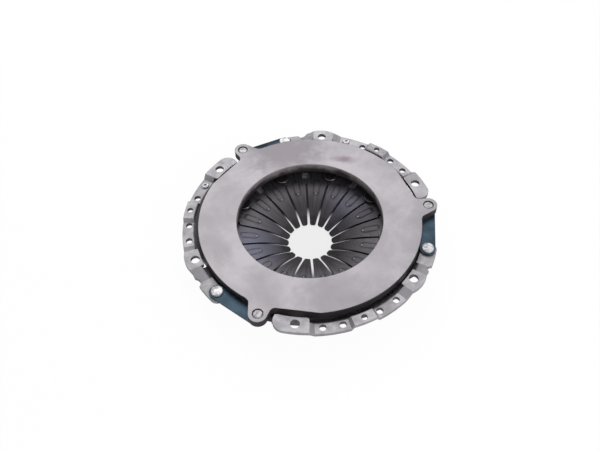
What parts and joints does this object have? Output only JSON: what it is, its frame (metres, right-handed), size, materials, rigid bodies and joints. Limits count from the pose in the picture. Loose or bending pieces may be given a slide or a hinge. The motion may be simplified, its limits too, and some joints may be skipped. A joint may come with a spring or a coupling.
{
  "type": "clutch pressure plate assembly",
  "caption": "Push-type diaphragm-spring clutch cover: a riveted steel cover carries a cast friction ring on leaf straps and a fingered spring.",
  "frame": {"origin": "centre of the bolt circle, on the face of the bolt pads that meets the flywheel", "axes": "+Z along the clutch's axis towards the flywheel; +X through the middle of lug 1; +Y completes the right-handed frame"},
  "size_m": [0.2655, 0.2643, 0.0435],
  "materials": {
    "cover_steel": "satin",
    "cast_iron": "ground",
    "spring_steel": "satin",
    "wire_steel": "satin",
    "pin_steel": "satin",
    "strap_steel": "tempered",
    "rivet_steel": "bright"
  },
  "bodies": {
    "cover_assembly": {"cover": "cover_steel", "diaphragm_spring": "spring_steel", "fulcrum_wire": "wire_steel", "fulcrum_pin_1": "pin_steel", "fulcrum_pin_2": "pin_steel", "fulcrum_pin_3": "pin_steel", "fulcrum_pin_4": "pin_steel", "fulcrum_pin_5": "pin_steel", "fulcrum_pin_6": "pin_steel", "fulcrum_pin_7": "pin_steel", "fulcrum_pin_8": "pin_steel", "fulcrum_pin_9": "pin_steel", "strap_cover_rivet_1": "rivet_steel", "strap_cover_rivet_2": "rivet_steel", "strap_cover_rivet_3": "rivet_steel", "strap_1_leaf_1": "strap_steel", "strap_1_leaf_2": "strap_steel", "strap_1_leaf_3": "strap_steel", "strap_2_leaf_1": "strap_steel", "strap_2_leaf_2": "strap_steel", "strap_2_leaf_3": "strap_steel", "strap_3_leaf_1": "strap_steel", "strap_3_leaf_2": "strap_steel", "strap_3_leaf_3": "strap_steel", "balance_rivet_1": "rivet_steel", "balance_rivet_2": "rivet_steel"},
    "pressure_plate": {"pressure_ring": "cast_iron", "strap_lug_rivet_1": "rivet_steel", "strap_lug_rivet_2": "rivet_steel", "strap_lug_rivet_3": "rivet_steel"}
  },
  "joints": [
    {"name": "plate_lift", "type": "slide", "parent": "cover_assembly", "child": "pressure_plate", "axis": [0, 0, 1], "range_m": [-0.0045, 0], "stiffness_N_per_m": 200000, "springref_m": 0.002, "deforming": ["diaphragm_spring", "strap_1_leaf_1", "strap_1_leaf_2", "strap_1_leaf_3", "strap_2_leaf_1", "strap_2_leaf_2", "strap_2_leaf_3", "strap_3_leaf_1", "strap_3_leaf_2", "strap_3_leaf_3"]}
  ]
}
